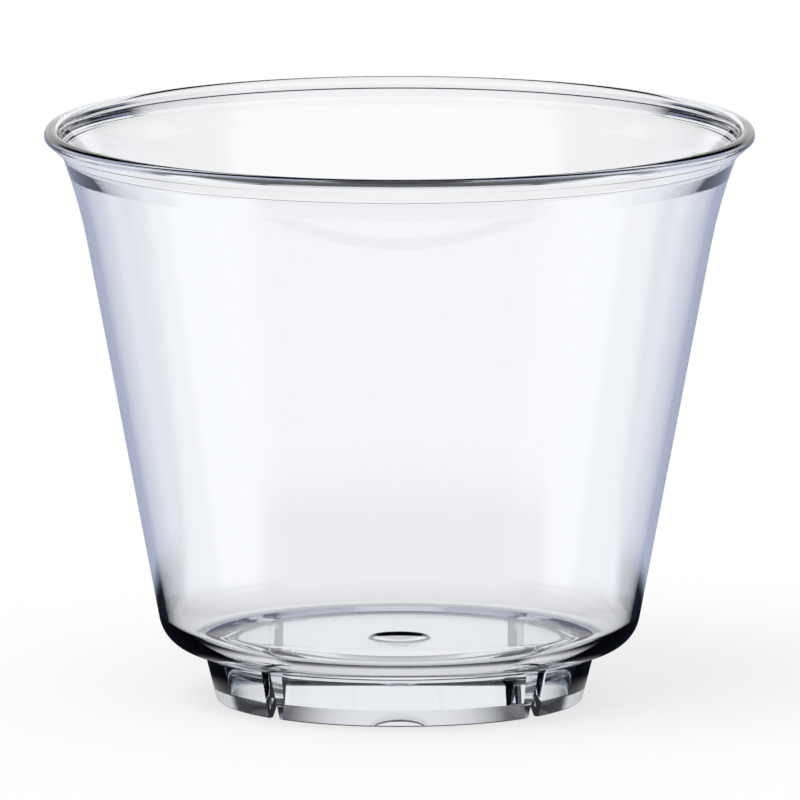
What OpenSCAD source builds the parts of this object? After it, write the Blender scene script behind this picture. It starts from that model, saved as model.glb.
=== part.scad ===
// Clear plastic tumbler cup: one injection-moulded piece, a wide squat bowl with a flared lip,
// a round shoulder and a recessed foot ring with drain slots.
// Origin at the centre of the foot's standing face, +Z up, millimetres.

/* [Bowl] */
// Overall height, from the standing face to the top of the lip
height = 73.45; // [64:0.05:85]
// Overall diameter across the lip
rim_d = 90.4; // [84:0.1:100]
// Lean of the side wall from the vertical, in degrees
wall_lean = 10.7; // [9:0.1:12]
// Thickness of the side wall
wall_t = 1; // [0.8:0.05:1.5]
// Thickness of the floor
floor_t = 1.4; // [1:0.1:2.4]
// Outer radius of the round shoulder between the side wall and the floor
shoulder_r = 4.8; // [4:0.1:7]
// Inner radius of the shoulder
shoulder_in_r = 4; // [2:0.25:6]

/* [Lip] */
// Outer radius of the long flare below the lip
flare_r = 66.5; // [50:0.5:80]
// Lean of the wall where the long flare ends, in degrees
flare_lean = 20.5; // [16:0.5:26]
// Outer radius of the tight curve that turns the lip out
lip_r = 2.6; // [1.6:0.1:4]
// Lean of the lip's underside, in degrees
lip_lean = 47.5; // [40:0.5:60]
// Length of the lip's underside beyond its curve
lip_len = 2.4; // [1.6:0.1:3]
// Height of the lip's outer edge
edge_h = 1.25; // [1.1:0.05:1.6]
// Radius of the edge's lower corner
edge_r = 0.15; // [0.05:0.05:0.25]
// Radius of the round crest of the lip
crest_r = 0.9; // [0.6:0.05:0.95]
// Lean of the inner face below the crest, in degrees
crest_lean = 25.5; // [23:0.5:34]
// Radius that blends the inner face below the crest into the flare
blend_r = 3; // [1:0.5:8]

/* [Foot ring] */
// Height of the floor's underside above the standing face
foot_h = 6.6; // [5:0.1:9]
// Width of the flat ledge between the shoulder and the foot ring
ledge_w = 0.9; // [0.4:0.1:2]
// Lean of the foot ring's outer face, in degrees
foot_lean = 14.3; // [8:0.1:16]
// Thickness of the foot ring across its standing end
toe_t = 0.8; // [0.7:0.05:1.4]
// Radius of the rounded edges at the standing end
toe_r = 0.25; // [0.1:0.05:0.3]
// Height of the bevel inside the standing end
bevel_h = 2.2; // [1:0.1:3.5]
// Width of the bevel, by which it thins the ring
bevel_w = 1.1; // [0.4:0.1:2]
// Draft of the foot ring's inner face above the bevel, in degrees
foot_draft = 2; // [0.5:0.5:3]
// Radius of the fillet between the foot ring's inner face and the floor
root_r = 0.8; // [0.4:0.1:1.2]

/* [Drain slots] */
// Number of slots through the foot ring
slot_n = 4; // [3:1:8]
// Width of a slot at the floor
slot_w = 1.5; // [1:0.1:3.5]
// Draft of a slot's sides, in degrees
slot_draft = 2; // [0.5:0.5:4]
// Direction of the first slot, in degrees from +X
slot_turn = 45; // [0:1:90]

/* [Gate mark] */
// Diameter of the round dish in the middle of the floor
dish_d = 8; // [6:0.5:10]
// Depth of the dish, which is hollow in the bowl and bulges below the floor
dish_h = 0.8; // [0.4:0.1:1.2]
// Diameter of the gate's stub under the dish
stub_d = 2.4; // [1.6:0.1:3]
// Length of the gate's stub
stub_h = 0.25; // [0.15:0.05:0.8]

/* [Hidden] */
// Most degrees that one step of an arc covers
arc_step = 6;
// Overshoot of a cutter past what it cuts
over = 1;

// A direction in the profile plane that leans outward from the vertical, and its outward normal
function along(lean) = [sin(lean), cos(lean)];
function outward(lean) = [cos(lean), -sin(lean)];

// Points of an arc about a centre, at the given radius, from one angle to another
function arc(c, r, from, to) =
    let (n = max(3, ceil(abs(to - from) / arc_step)))
    [for (i = [0:n]) let (a = from + (to - from) * i / n) c + r * [cos(a), sin(a)]];

// The lip's outline, from its round crest down its outer edge to its underside
crest_c = [rim_d / 2 - crest_r, height - crest_r];
lip_corner = [rim_d / 2, height - edge_h];
edge_c = lip_corner + edge_r * [-1, tan(lip_lean / 2)];
lip_start = lip_corner - lip_len * along(lip_lean);

// Centres of the outer face's two curves below the lip, and where its straight part ends
lip_curve_c = lip_start + lip_r * outward(lip_lean);
flare_end = lip_curve_c - lip_r * outward(flare_lean);
flare_c = flare_end + flare_r * outward(flare_lean);
flare_start = flare_c - flare_r * outward(wall_lean);

// Radius of the side wall's outer face, carried on down at its lean
function wall_radius(z) = flare_start[0] + (z - flare_start[1]) * tan(wall_lean);

// Centres of the shoulder's outer and inner arcs, which touch the side wall and the floor
floor_z = foot_h + floor_t;
shoulder_z = foot_h + shoulder_r;
shoulder_c = [wall_radius(shoulder_z) - shoulder_r / cos(wall_lean), shoulder_z];
shoulder_in_z = floor_z + shoulder_in_r;
shoulder_in_c = [wall_radius(shoulder_in_z) - (wall_t + shoulder_in_r) / cos(wall_lean), shoulder_in_z];

// Centre of the inner blend, which touches the face below the crest and the inner side of the flare
blend_reach = flare_r + wall_t - blend_r;
blend_from = crest_c + (blend_r - crest_r) * outward(crest_lean) - flare_c;
slope_share = blend_from * along(crest_lean);
slope_len = slope_share + sqrt(slope_share ^ 2 - blend_from * blend_from + blend_reach ^ 2);
blend_c = flare_c + blend_from - slope_len * along(crest_lean);
blend_lean = atan2(blend_c[1] - flare_c[1], flare_c[0] - blend_c[0]);

// The foot ring, from the ledge down to its standing face and up its inner side
foot_top_r = shoulder_c[0] - ledge_w;
foot_out_r = foot_top_r - foot_h * tan(foot_lean);
toe_in_r = foot_out_r - toe_t;
bevel_lean = atan2(bevel_w, bevel_h);
foot_in_r = toe_in_r - bevel_w;
root_in_r = foot_in_r - (foot_h - bevel_h) * tan(foot_draft);

// Centres of the arcs that round the toe's two edges and the ring's root
toe_out_c = [foot_out_r - toe_r * (1 - sin(foot_lean)) / cos(foot_lean), toe_r];
toe_in_c = [toe_in_r + toe_r * (1 - sin(bevel_lean)) / cos(bevel_lean), toe_r];
root_c = [root_in_r + root_r * (tan(foot_draft) - 1 / cos(foot_draft)), foot_h - root_r];

// The dish in the middle of the floor, whose two faces have one centre, and the stub under it
dish_r = (dish_d ^ 2 / 4 + dish_h ^ 2) / (2 * dish_h);
dish_c = [0, foot_h - dish_h + dish_r];
dish_in_r = dish_r - floor_t;
dish_side = asin(dish_d / 2 / dish_r);
dish_in_side = acos((dish_c[1] - floor_z) / dish_in_r);
stub_side = asin(stub_d / 2 / dish_r);
stub_z = foot_h - dish_h - stub_h;

// The outer face, from the standing face up to the crest
outer_points = concat(
    arc(toe_out_c, toe_r, -90, -foot_lean),
    [[foot_top_r, foot_h]],
    arc(shoulder_c, shoulder_r, -90, -wall_lean),
    arc(flare_c, flare_r, 180 - wall_lean, 180 - flare_lean),
    arc(lip_curve_c, lip_r, 180 - flare_lean, 180 - lip_lean),
    arc(edge_c, edge_r, -lip_lean, 0),
    arc(crest_c, crest_r, 0, 90));

// The inner face, from the crest down to the middle of the floor
inner_points = concat(
    arc(crest_c, crest_r, 90, 180 - crest_lean),
    arc(blend_c, blend_r, 180 - crest_lean, 180 - blend_lean),
    arc(flare_c, flare_r + wall_t, 180 - blend_lean, 180 - wall_lean),
    arc(shoulder_in_c, shoulder_in_r, -wall_lean, -90),
    arc(dish_c, dish_in_r, dish_in_side - 90, -90));

// The underside, from the stub out to the foot ring and down its inner side
under_points = concat(
    [[0, stub_z], [stub_d / 2, stub_z]],
    arc(dish_c, dish_r, stub_side - 90, dish_side - 90),
    arc(root_c, root_r, 90, foot_draft),
    [[foot_in_r, bevel_h]],
    arc(toe_in_c, toe_r, 180 + bevel_lean, 270));

module body() {
    rotate_extrude($fn = 180)
        polygon(concat(outer_points, inner_points, under_points));
}

// One drain slot, cut straight out from the middle through one side of the ring
module slot() {
    spread = foot_h * tan(slot_draft);
    rotate([90, 0, 90])
        translate([0, 0, root_in_r - root_r - over])
        linear_extrude(foot_top_r - root_in_r + root_r + 2 * over)
        polygon([
            [-slot_w / 2, foot_h], [slot_w / 2, foot_h],
            [slot_w / 2 + spread, 0], [slot_w / 2 + spread, -over],
            [-slot_w / 2 - spread, -over], [-slot_w / 2 - spread, 0]]);
}

module cup() {
    color([0.86, 0.9, 0.96, 0.35])
    difference() {
        body();
        for (i = [0:slot_n - 1]) rotate(slot_turn + i * 360 / slot_n) slot();
    }
}

cup();
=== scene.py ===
"""Looks of the clear plastic tumbler cup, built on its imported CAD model. Lengths are in metres."""

import math

import bpy
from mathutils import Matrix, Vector


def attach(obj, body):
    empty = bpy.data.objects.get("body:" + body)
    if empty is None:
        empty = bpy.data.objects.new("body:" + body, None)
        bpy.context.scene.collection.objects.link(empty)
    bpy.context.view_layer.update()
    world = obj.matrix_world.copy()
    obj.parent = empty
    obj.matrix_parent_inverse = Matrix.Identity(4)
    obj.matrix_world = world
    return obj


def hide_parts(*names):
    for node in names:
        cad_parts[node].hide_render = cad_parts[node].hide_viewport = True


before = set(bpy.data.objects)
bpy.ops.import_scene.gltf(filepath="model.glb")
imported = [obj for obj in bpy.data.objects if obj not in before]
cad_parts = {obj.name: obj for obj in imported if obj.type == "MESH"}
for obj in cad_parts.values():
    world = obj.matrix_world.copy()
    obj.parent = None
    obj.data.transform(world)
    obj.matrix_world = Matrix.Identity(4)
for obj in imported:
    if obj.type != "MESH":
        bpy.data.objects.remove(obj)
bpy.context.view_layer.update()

MM = 0.001

# Bowl, as in the CAD source
height = 73.45 * MM
rim_d = 90.4 * MM
wall_lean = math.radians(10.7)
wall_t = 1.0 * MM
floor_t = 1.4 * MM
shoulder_r = 4.8 * MM
shoulder_in_r = 4.0 * MM

# Lip
flare_r = 66.5 * MM
flare_lean = math.radians(20.5)
lip_r = 2.6 * MM
lip_lean = math.radians(47.5)
lip_len = 2.4 * MM
edge_h = 1.25 * MM
edge_r = 0.15 * MM
crest_r = 0.9 * MM
crest_lean = math.radians(25.5)
blend_r = 3.0 * MM

# Foot ring
foot_h = 6.6 * MM
ledge_w = 0.9 * MM
foot_lean = math.radians(14.3)
toe_t = 0.8 * MM
toe_r = 0.25 * MM
bevel_h = 2.2 * MM
bevel_w = 1.1 * MM
foot_draft = math.radians(2.0)
root_r = 0.8 * MM

# Drain slots
slot_n = 4
slot_w = 1.5 * MM
slot_draft = math.radians(2.0)
slot_turn = math.radians(45.0)

# Gate mark
dish_d = 8.0 * MM
dish_h = 0.8 * MM
stub_d = 2.4 * MM
stub_h = 0.25 * MM

# Parting line of the mould, a fine step on the inner face of the lip with a gentle upper side
seam_z = 72.13 * MM
seam_above = 0.36 * MM
seam_below = 0.15 * MM
seam_rise = 0.035 * MM

# Fineness of the mesh: the longest steps along the profile, and the columns across and between the slots
arc_step = math.radians(3.0)
row_step = 2.5 * MM
slot_columns = 4
ring_columns = 60

# Two points of the profile that lie closer than this are one
tolerance = 0.001 * MM

# Clear polystyrene: its refraction, its tint, and how it dims what is seen through its depth
plastic_ior = 1.59
plastic_tint = (0.985, 0.99, 1.0)
depth_density = 14.0
depth_colour = (0.55, 0.68, 0.9)

# Haze from handling, between two levels of a noise, and the roughness where it is strongest
haze_scale = 220.0
haze_detail = 4.0
haze_start = 0.35
haze_full = 0.75
haze_roughness = 0.03

# Ripples that the flow of the plastic leaves
ripple_scale = 90.0
ripple_detail = 2.0
ripple_strength = 0.2
ripple_depth = 0.02 * MM

# Cards of the studio as the plastic mirrors them, each over the ones before it: lowest and highest
# elevation, nearest and farthest azimuth from straight ahead, in degrees, and the colour
cards = (
    (-120, -53, 60, 135, (1.0, 1.0, 1.0)),
    (-120, -57, 130, 200, (1.0, 1.0, 1.0)),
    (-120, -60, -20, 60, (0.7, 0.7, 0.74)),
    (-24, 0, -20, 80, (0.45, 0.5, 0.64)),
    (-22, 45, 115, 200, (0.78, 0.78, 0.8)),
    (-30, 12, 80, 125, (0.93, 0.95, 1.0)),
    (0, 12, 50, 80, (0.3, 0.33, 0.42)),
    (0, 12, -20, 50, (1.0, 1.0, 1.0)),
    (0, 28, -20, 25, (1.0, 1.0, 1.0)),
)
flag_colour = (0.01, 0.012, 0.02)

# Half the width of a card's soft edges, at its top and bottom and at its sides, in degrees
card_edge = 2.5
card_side_edge = 5.0

# Elevations between which the white that the plastic lets through turns dark, in degrees
backdrop_end = (18, 24)

# Painted shadow by the foot on the mirrored table: how much darker it is, and the elevations where it sets
# in
foot_shade = 0.6
foot_shade_start = (-28, -34)

# Least length of a direction's level part, so that straight up and down have an azimuth too
smallest_level = 0.001

# Floor: half its side, and its depth below the standing face
floor_reach = 12.0
floor_drop = 0.05 * MM

# Colours of the studio. The camera sees the floor as some paint and a glow, a white with a faint shadow.
white = (1.0, 1.0, 1.0)
black = (0.0, 0.0, 0.0)
room_grey = (0.58, 0.58, 0.58)
floor_paint = (0.8, 0.8, 0.8)
floor_paint_seen = (0.3, 0.3, 0.3)
floor_glow_seen = (0.73, 0.73, 0.73)

# Lamp above the cup, from the left and the front
lamp_place = Vector((-0.4, -0.5, 1.6))
lamp_angle = math.radians(40)
lamp_strength = 1.2

# Camera, as in the photograph: nearly level, a little above the rim, and far away
view_elevation = math.radians(9.0)
view_turn = math.radians(-1.9)
lens_mm = 1600.0
sensor_mm = 36.0

# Nearest thing that the camera shows, and the farthest as a multiple of its distance from the cup
clip_near = 0.1
clip_far = 3

# Size of the photograph and of its pixels at the cup, and where the centre of the foot lies in it
image_px = 800
px_size = 0.1275 * MM
axis_px = 399.5
foot_px = 697.0


def along(lean):
    """Direction in the profile plane that leans outward from the vertical."""
    return Vector((math.sin(lean), math.cos(lean)))


def outward(lean):
    """Outward normal of a face that leans outward from the vertical."""
    return Vector((math.cos(lean), -math.sin(lean)))


# The outer face, from the lip down
quarter = math.radians(90)
half_turn = math.radians(180)
crest_c = Vector((rim_d / 2 - crest_r, height - crest_r))
lip_corner = Vector((rim_d / 2, height - edge_h))
edge_c = lip_corner + edge_r * Vector((-1, math.tan(lip_lean / 2)))
lip_start = lip_corner - lip_len * along(lip_lean)
lip_curve_c = lip_start + lip_r * outward(lip_lean)
flare_end = lip_curve_c - lip_r * outward(flare_lean)
flare_c = flare_end + flare_r * outward(flare_lean)
flare_start = flare_c - flare_r * outward(wall_lean)


def wall_radius(z):
    """Radius of the side wall's outer face, carried on down at its lean."""
    return flare_start.x + (z - flare_start.y) * math.tan(wall_lean)


shoulder_z = foot_h + shoulder_r
shoulder_c = Vector((wall_radius(shoulder_z) - shoulder_r / math.cos(wall_lean), shoulder_z))

# The inner face: its blend touches both the straight slope below the crest and the inner flare
blend_reach = flare_r + wall_t - blend_r
blend_from = crest_c + (blend_r - crest_r) * outward(crest_lean) - flare_c
slope_share = blend_from.dot(along(crest_lean))
slope_len = slope_share + math.sqrt(slope_share**2 - blend_from.length_squared + blend_reach**2)
blend_c = flare_c + blend_from - slope_len * along(crest_lean)
blend_lean = math.atan2((blend_c - flare_c).y, (flare_c - blend_c).x)
floor_z = foot_h + floor_t
shoulder_in_z = floor_z + shoulder_in_r
shoulder_in_c = Vector(
    (wall_radius(shoulder_in_z) - (wall_t + shoulder_in_r) / math.cos(wall_lean), shoulder_in_z)
)

# The parting line, on the straight slope below the crest
slope_top = crest_c - crest_r * outward(crest_lean)
seam_c = slope_top - (slope_top.y - seam_z) / math.cos(crest_lean) * along(crest_lean)
seam_top = seam_c + seam_above * along(crest_lean)
seam_peak = seam_c - seam_rise * outward(crest_lean)
seam_low = seam_c - seam_below * along(crest_lean)

# The round dish in the middle of the floor; both faces have one centre
dish_r = (dish_d**2 / 4 + dish_h**2) / (2 * dish_h)
dish_c = Vector((0, foot_h - dish_h + dish_r))
dish_in_r = dish_r - floor_t
dish_side = math.asin(dish_d / 2 / dish_r)
dish_in_side = math.acos((dish_c.y - floor_z) / dish_in_r)
stub_side = math.asin(stub_d / 2 / dish_r)
stub_z = dish_c.y - dish_r - stub_h

# The foot ring
foot_top_r = shoulder_c.x - ledge_w
foot_out_r = foot_top_r - foot_h * math.tan(foot_lean)
toe_in_r = foot_out_r - toe_t
bevel_lean = math.atan2(bevel_w, bevel_h)
foot_in_r = toe_in_r - bevel_w
root_in_r = foot_in_r - (foot_h - bevel_h) * math.tan(foot_draft)
toe_out_c = Vector((foot_out_r - toe_r * (1 - math.sin(foot_lean)) / math.cos(foot_lean), toe_r))
toe_in_c = Vector((toe_in_r + toe_r * (1 - math.sin(bevel_lean)) / math.cos(bevel_lean), toe_r))
root_c = Vector(
    (root_in_r + root_r * (math.tan(foot_draft) - 1 / math.cos(foot_draft)), foot_h - root_r)
)

# The underside over the foot ring, a stretch of one step that only the slots show
down = Vector((0, -1))
ring_roof = [(Vector((root_c.x, foot_h)), down), (Vector((foot_top_r, foot_h)), down)]

cup_middle = Vector((0, 0, height / 2))

# The mesh's columns, which start at the first slot's side
slot_pitch = 2 * math.pi / slot_n
columns_per_slot = slot_columns + ring_columns
every_column = range(slot_n * columns_per_slot)
columns_over_slots = [j for j in every_column if j % columns_per_slot < slot_columns]
columns_over_ring = [j for j in every_column if j % columns_per_slot >= slot_columns]


def same(a, b):
    """Whether two points of the profile are one."""
    return (a - b).length <= tolerance


def corner(x, z):
    """A sharp corner of the profile: a stretch of one point."""
    return [(Vector((x, z)), None)]


def arc(centre, radius, start, end, side=1):
    """Points and normals of an arc of the profile. Side is -1 where the face looks at the centre."""
    steps = max(2, math.ceil(abs(end - start) / arc_step))
    points = []
    for i in range(steps + 1):
        angle = start + (end - start) * i / steps
        normal = Vector((math.cos(angle), math.sin(angle)))
        points.append((centre + radius * normal, side * normal))
    return points


def straight(start, end):
    """Points and normals of a straight stretch, whose face lies on the right of its direction."""
    way = end - start
    steps = max(1, math.ceil(way.length / row_step))
    normal = Vector((way.y, -way.x)).normalized()
    return [(start.lerp(end, i / steps), normal) for i in range(steps + 1)]


def joined(stretches):
    """The stretches with a straight one across each space between two of them."""
    chain = [stretches[0]]
    for stretch in stretches[1:]:
        start = chain[-1][-1][0]
        end = stretch[0][0]
        if not same(start, end):
            chain.append(straight(start, end))
        chain.append(stretch)
    return chain


def body_profile():
    """The cup without its foot ring, from the middle of its underside to the middle of its floor."""
    return joined(
        [
            corner(0, stub_z),
            corner(stub_d / 2, stub_z),
            arc(dish_c, dish_r, stub_side - quarter, dish_side - quarter),
            ring_roof,
            arc(shoulder_c, shoulder_r, -quarter, -wall_lean),
            arc(flare_c, flare_r, half_turn - wall_lean, half_turn - flare_lean, -1),
            arc(lip_curve_c, lip_r, half_turn - flare_lean, half_turn - lip_lean, -1),
            arc(edge_c, edge_r, -lip_lean, 0),
            arc(crest_c, crest_r, 0, half_turn - crest_lean),
            corner(*seam_top),
            corner(*seam_peak),
            corner(*seam_low),
            arc(blend_c, blend_r, half_turn - crest_lean, half_turn - blend_lean),
            arc(flare_c, flare_r + wall_t, half_turn - blend_lean, half_turn - wall_lean),
            arc(shoulder_in_c, shoulder_in_r, -wall_lean, -quarter, -1),
            arc(dish_c, dish_in_r, dish_in_side - quarter, -quarter, -1),
        ]
    )


def ring_profile():
    """The foot ring, from its root inside down round the toe and up to the ledge."""
    return joined(
        [
            arc(root_c, root_r, quarter, foot_draft, -1),
            corner(foot_in_r, bevel_h),
            arc(toe_in_c, toe_r, half_turn + bevel_lean, half_turn + quarter),
            arc(toe_out_c, toe_r, -quarter, -foot_lean),
            corner(foot_top_r, foot_h),
        ]
    )


def column_turns(point):
    """Azimuths of the columns at a point. The slots' sides are flat and drafted, so the columns follow them,
    and above and beside the foot ring they stay as they are at its edge."""
    radius = min(max(point.x, root_c.x), foot_top_r)
    depth = foot_h - min(point.y, foot_h)
    side = math.asin((slot_w / 2 + depth * math.tan(slot_draft)) / radius)
    turns = []
    for i in range(slot_n):
        middle = slot_turn + i * slot_pitch
        turns += [middle + side * (2 * j / slot_columns - 1) for j in range(slot_columns)]
        turns += [middle + side + (slot_pitch - 2 * side) * j / ring_columns for j in range(ring_columns)]
    return turns


class Grid:
    """Collects the corners and faces of a revolved mesh, with the exact normal of each face's corners."""

    def __init__(self):
        self.points = []
        self.faces = []
        self.normals = []
        self.rows = {}

    def row(self, point):
        """First number of the corners at a point of the profile, and their azimuths, made once."""
        key = (round(point.x / tolerance), round(point.y / tolerance))
        if key not in self.rows:
            turns = column_turns(point)
            self.rows[key] = (len(self.points), turns)
            if point.x < tolerance:
                self.points.append((0, 0, point.y))
            else:
                self.points += [(point.x * math.cos(a), point.x * math.sin(a), point.y) for a in turns]
        return self.rows[key]

    def corner_at(self, place, column):
        """Number and normal of the corner at a column. A place is a point of the profile and its normal."""
        point, normal = place
        first, turns = self.row(point)
        column %= len(turns)
        number = first if point.x < tolerance else first + column
        turn = turns[column]
        return number, (normal.x * math.cos(turn), normal.x * math.sin(turn), normal.y)

    def band(self, low, high, columns):
        """Faces between two places, over the given columns. On the axis two corners of a face are one."""
        for column in columns:
            facing = {}
            for place, k in ((low, column), (low, column + 1), (high, column + 1), (high, column)):
                number, normal = self.corner_at(place, k)
                facing.setdefault(number, normal)
            self.faces.append(list(facing))
            self.normals += facing.values()

    def stretch(self, places, columns):
        """The bands along one stretch of the profile."""
        for low, high in zip(places, places[1:]):
            self.band(low, high, columns)

    def cap(self, points, column, normal):
        """One flat face across the profile's points at a column."""
        numbers = [self.row(point)[0] + column for point in points]
        self.faces.append(numbers)
        self.normals += [normal] * len(numbers)


def add_body(grid):
    """The body, all round. Between the slots the foot ring takes the place of its roof."""
    for places in body_profile():
        grid.stretch(places, columns_over_slots if places is ring_roof else every_column)


def add_ring(grid):
    """The foot ring, between the slots."""
    for places in ring_profile():
        grid.stretch(places, columns_over_ring)


def add_slot_sides(grid):
    """The two flat sides of each slot."""
    points = [point for places in ring_profile() for point, _ in places]
    outline = [p for p, q in zip(points, points[1:]) if not same(p, q)]
    outline.append(points[-1])
    for i in range(slot_n):
        middle = slot_turn + i * slot_pitch
        across = Vector((-math.sin(middle), math.cos(middle), 0)) * math.cos(slot_draft)
        below = Vector((0, 0, -math.sin(slot_draft)))
        first = i * columns_per_slot
        grid.cap(outline, first + slot_columns, tuple(below - across))
        grid.cap(outline[::-1], first, tuple(below + across))


def cup_mesh():
    """The whole cup as one closed mesh."""
    grid = Grid()
    add_body(grid)
    add_ring(grid)
    add_slot_sides(grid)
    mesh = bpy.data.meshes.new("cup_shell")
    mesh.from_pydata(grid.points, [], grid.faces)
    mesh.shade_smooth()
    mesh.normals_split_custom_set(grid.normals)
    return mesh


def add_object(name, data):
    """A new object in the scene."""
    thing = bpy.data.objects.new(name, data)
    bpy.context.scene.collection.objects.link(thing)
    return thing


def empty_tree(owner):
    """The node tree of a new material or world, emptied."""
    owner.use_nodes = True
    owner.node_tree.nodes.clear()
    return owner.node_tree


def add_node(tree, kind, **values):
    """A shader node; each value is a property of the node or the default of one of its inputs."""
    node = tree.nodes.new(kind)
    for name, value in values.items():
        if hasattr(node, name):
            setattr(node, name, value)
        else:
            node.inputs[name.replace("_", " ")].default_value = value
    return node


def fill(tree, socket, value):
    """Sets an input to a number or a colour, or links it to another node's output."""
    if isinstance(value, bpy.types.NodeSocket):
        tree.links.new(value, socket)
    elif isinstance(value, tuple):
        socket.default_value = (*value, 1)
    else:
        socket.default_value = value


def calculate(tree, operation, a, b=0):
    """The result of a Math node on one or two values."""
    node = add_node(tree, "ShaderNodeMath", operation=operation)
    fill(tree, node.inputs[0], a)
    fill(tree, node.inputs[1], b)
    return node.outputs[0]


def mix_colour(tree, factor, low, high):
    """The colour low where the factor is 0 and high where it is 1."""
    node = add_node(tree, "ShaderNodeMix", data_type="RGBA")
    inputs = {socket.identifier: socket for socket in node.inputs}
    fill(tree, inputs["Factor_Float"], factor)
    fill(tree, inputs["A_Color"], low)
    fill(tree, inputs["B_Color"], high)
    return next(socket for socket in node.outputs if socket.identifier == "Result_Color")


def smooth_step(tree, value, start, end):
    """A 0 to 1 step, smooth from start to end."""
    step = add_node(tree, "ShaderNodeMapRange", From_Min=start, From_Max=end)
    step.interpolation_type = "SMOOTHSTEP"
    tree.links.new(value, step.inputs["Value"])
    return step.outputs["Result"]


def between(tree, value, low, high, edge):
    """1 from low to high and 0 outside, with soft edges."""
    above = smooth_step(tree, value, low - edge, low + edge)
    below = smooth_step(tree, value, high + edge, high - edge)
    return calculate(tree, "MULTIPLY", above, below)


def of_ray(tree, output):
    """What the Light Path node says of the ray: its kind, or how often it was mirrored or let through."""
    return add_node(tree, "ShaderNodeLightPath").outputs[output]


def seen_by_plastic(tree):
    """1 for a ray that the plastic mirrors or lets through, else 0."""
    return calculate(tree, "MAXIMUM", of_ray(tree, "Is Transmission Ray"), of_ray(tree, "Is Glossy Ray"))


def at_least_once(tree, output):
    """1 where the Light Path node's count is one or more, else 0."""
    return calculate(tree, "GREATER_THAN", of_ray(tree, output), 0.5)


def clear_plastic():
    """Clear polystyrene: glossy, with faint flow ripples and a little haze from handling."""
    material = bpy.data.materials.new("clear_plastic")
    tree = empty_tree(material)
    link = tree.links.new
    output = add_node(tree, "ShaderNodeOutputMaterial")
    shader = add_node(tree, "ShaderNodeBsdfPrincipled", IOR=plastic_ior)
    shader.inputs["Base Color"].default_value = (*plastic_tint, 1)
    shader.inputs["Transmission Weight"].default_value = 1.0
    link(shader.outputs["BSDF"], output.inputs["Surface"])
    absorption = add_node(tree, "ShaderNodeVolumeAbsorption", Density=depth_density)
    absorption.inputs["Color"].default_value = (*depth_colour, 1)
    link(absorption.outputs["Volume"], output.inputs["Volume"])
    place = add_node(tree, "ShaderNodeTexCoord")
    haze = add_node(tree, "ShaderNodeTexNoise", Scale=haze_scale, Detail=haze_detail)
    link(place.outputs["Object"], haze.inputs["Vector"])
    roughness = add_node(tree, "ShaderNodeMapRange", From_Min=haze_start, From_Max=haze_full)
    roughness.inputs["To Max"].default_value = haze_roughness
    link(haze.outputs["Fac"], roughness.inputs["Value"])
    link(roughness.outputs["Result"], shader.inputs["Roughness"])
    flow = add_node(tree, "ShaderNodeTexNoise", Scale=ripple_scale, Detail=ripple_detail)
    link(place.outputs["Object"], flow.inputs["Vector"])
    ripple = add_node(tree, "ShaderNodeBump", Strength=ripple_strength, Distance=ripple_depth)
    link(flow.outputs["Fac"], ripple.inputs["Height"])
    link(ripple.outputs["Normal"], shader.inputs["Normal"])
    return material


def make_cup():
    """The cup, in place of its CAD node."""
    cup = add_object("cup_shell", cup_mesh())
    cup.data.materials.append(clear_plastic())
    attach(cup, "root")
    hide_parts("cup")


def angles(tree, direction):
    """Elevation of a direction, and its azimuth from straight ahead to either side, in degrees."""
    parts = add_node(tree, "ShaderNodeSeparateXYZ")
    tree.links.new(direction, parts.inputs[0])
    _, y, z = parts.outputs
    level = calculate(tree, "SQRT", calculate(tree, "SUBTRACT", 1.0, calculate(tree, "MULTIPLY", z, z)))
    ahead = calculate(tree, "DIVIDE", y, calculate(tree, "MAXIMUM", level, smallest_level))
    elevation = calculate(tree, "DEGREES", calculate(tree, "ARCSINE", z))
    azimuth = calculate(tree, "DEGREES", calculate(tree, "ARCCOSINE", ahead))
    return elevation, azimuth


def mirror_image(tree, elevation, azimuth):
    """What the plastic mirrors: the cards, dark flags between them, and a painted shadow of the cup that
    darkens the table beside the foot.
    """
    colour = flag_colour
    for lowest, highest, nearest, farthest, card_colour in cards:
        rows = between(tree, elevation, lowest, highest, card_edge)
        columns = between(tree, azimuth, nearest, farthest, card_side_edge)
        colour = mix_colour(tree, calculate(tree, "MULTIPLY", rows, columns), colour, card_colour)
    # Painted shadow of the cup on the table beside its foot, which only the cup's outside mirrors
    outside = calculate(tree, "SUBTRACT", 1.0, at_least_once(tree, "Transmission Depth"))
    shaded = calculate(tree, "MULTIPLY", outside, smooth_step(tree, elevation, *foot_shade_start))
    return mix_colour(tree, calculate(tree, "MULTIPLY", shaded, foot_shade), colour, flag_colour)


def surroundings(tree, direction):
    """Colour of the studio in a direction from the cup. A ray that the plastic only bends sees a white table
    and backdrop, and one that it mirrors sees the cards."""
    elevation, azimuth = angles(tree, direction)
    through = mix_colour(tree, smooth_step(tree, elevation, *backdrop_end), white, flag_colour)
    mirrored = mirror_image(tree, elevation, azimuth)
    return mix_colour(tree, at_least_once(tree, "Glossy Depth"), through, mirrored)


def make_world():
    """The studio round the cup: white for the camera, and a grey room for the light on the floor."""
    world = bpy.data.worlds.new("studio")
    bpy.context.scene.world = world
    tree = empty_tree(world)
    link = tree.links.new
    direction = add_node(tree, "ShaderNodeTexCoord").outputs["Generated"]
    plain = mix_colour(tree, of_ray(tree, "Is Camera Ray"), room_grey, white)
    colour = mix_colour(tree, seen_by_plastic(tree), plain, surroundings(tree, direction))
    background = add_node(tree, "ShaderNodeBackground")
    link(colour, background.inputs["Color"])
    output = add_node(tree, "ShaderNodeOutputWorld")
    link(background.outputs["Background"], output.inputs["Surface"])


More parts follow.
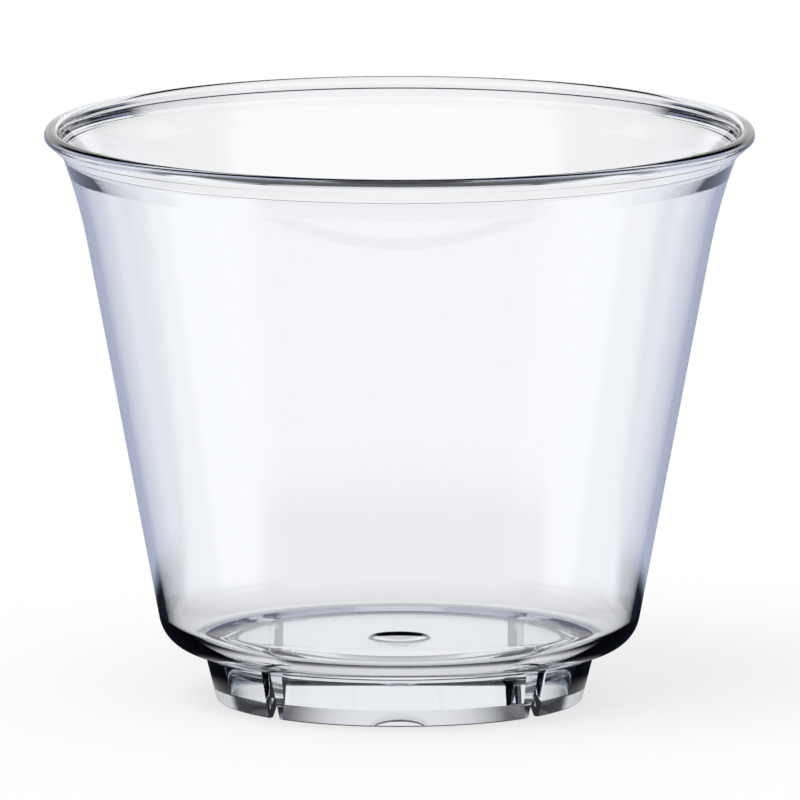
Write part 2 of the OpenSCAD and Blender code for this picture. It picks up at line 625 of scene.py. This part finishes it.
def from_cup(tree):
    """Direction from the middle of the cup to the point that is shaded."""
    place = add_node(tree, "ShaderNodeNewGeometry")
    offset = add_node(tree, "ShaderNodeVectorMath", operation="SUBTRACT")
    tree.links.new(place.outputs["Position"], offset.inputs[0])
    offset.inputs[1].default_value = cup_middle
    direction = add_node(tree, "ShaderNodeVectorMath", operation="NORMALIZE")
    tree.links.new(offset.outputs["Vector"], direction.inputs[0])
    return direction.outputs["Vector"]


def floor_white():
    """A plain white that keeps the object's shadow. The plastic sees the studio's cards in its place."""
    material = bpy.data.materials.new("floor_white")
    tree = empty_tree(material)
    link = tree.links.new
    to_camera = of_ray(tree, "Is Camera Ray")
    to_plastic = seen_by_plastic(tree)
    paint = add_node(tree, "ShaderNodeBsdfDiffuse")
    painted = mix_colour(tree, to_camera, floor_paint, floor_paint_seen)
    link(mix_colour(tree, to_plastic, painted, black), paint.inputs["Color"])
    glow = add_node(tree, "ShaderNodeEmission")
    lit = mix_colour(tree, to_camera, black, floor_glow_seen)
    link(mix_colour(tree, to_plastic, lit, surroundings(tree, from_cup(tree))), glow.inputs["Color"])
    both = add_node(tree, "ShaderNodeAddShader")
    link(paint.outputs["BSDF"], both.inputs[0])
    link(glow.outputs["Emission"], both.inputs[1])
    output = add_node(tree, "ShaderNodeOutputMaterial")
    link(both.outputs["Shader"], output.inputs["Surface"])
    return material


def make_floor():
    """A square floor just under the cup."""
    mesh = bpy.data.meshes.new("floor")
    corners = [(x * floor_reach, y * floor_reach, 0) for x, y in ((-1, -1), (1, -1), (1, 1), (-1, 1))]
    mesh.from_pydata(corners, [], [(0, 1, 2, 3)])
    mesh.materials.append(floor_white())
    floor = add_object("floor", mesh)
    floor.location.z = -floor_drop


def make_lamp():
    """A wide, soft sun lamp that shines on the cup. The plastic neither mirrors nor shows it."""
    lamp = bpy.data.lights.new("softbox_top", "SUN")
    lamp.angle = lamp_angle
    lamp.energy = lamp_strength
    light = add_object("softbox_top", lamp)
    light.location = lamp_place
    light.rotation_euler = (cup_middle - lamp_place).to_track_quat("-Z", "Y").to_euler()
    light.visible_glossy = False
    light.visible_transmission = False


def make_camera():
    """Aims so that the foot's centre on the axis lies at its pixel in the photograph."""
    data = bpy.data.cameras.new("camera")
    camera = add_object("camera", data)
    bpy.context.scene.camera = camera
    distance = image_px * px_size * lens_mm / sensor_mm
    data.lens = lens_mm
    data.sensor_width = sensor_mm
    data.clip_start = clip_near
    data.clip_end = clip_far * distance
    back = Vector(
        (
            math.sin(view_turn) * math.cos(view_elevation),
            -math.cos(view_turn) * math.cos(view_elevation),
            math.sin(view_elevation),
        )
    )
    rotation = (-back).to_track_quat("-Z", "Y")
    right = rotation @ Vector((1, 0, 0))
    up = rotation @ Vector((0, 1, 0))
    middle = image_px / 2
    aim = right * (middle - axis_px) * px_size + up * (foot_px - middle) * px_size
    camera.location = aim + back * distance
    camera.rotation_mode = "QUATERNION"
    camera.rotation_quaternion = rotation


make_camera()
make_cup()
make_floor()
make_world()
make_lamp()

bpy.context.scene.view_settings.view_transform = "Standard"
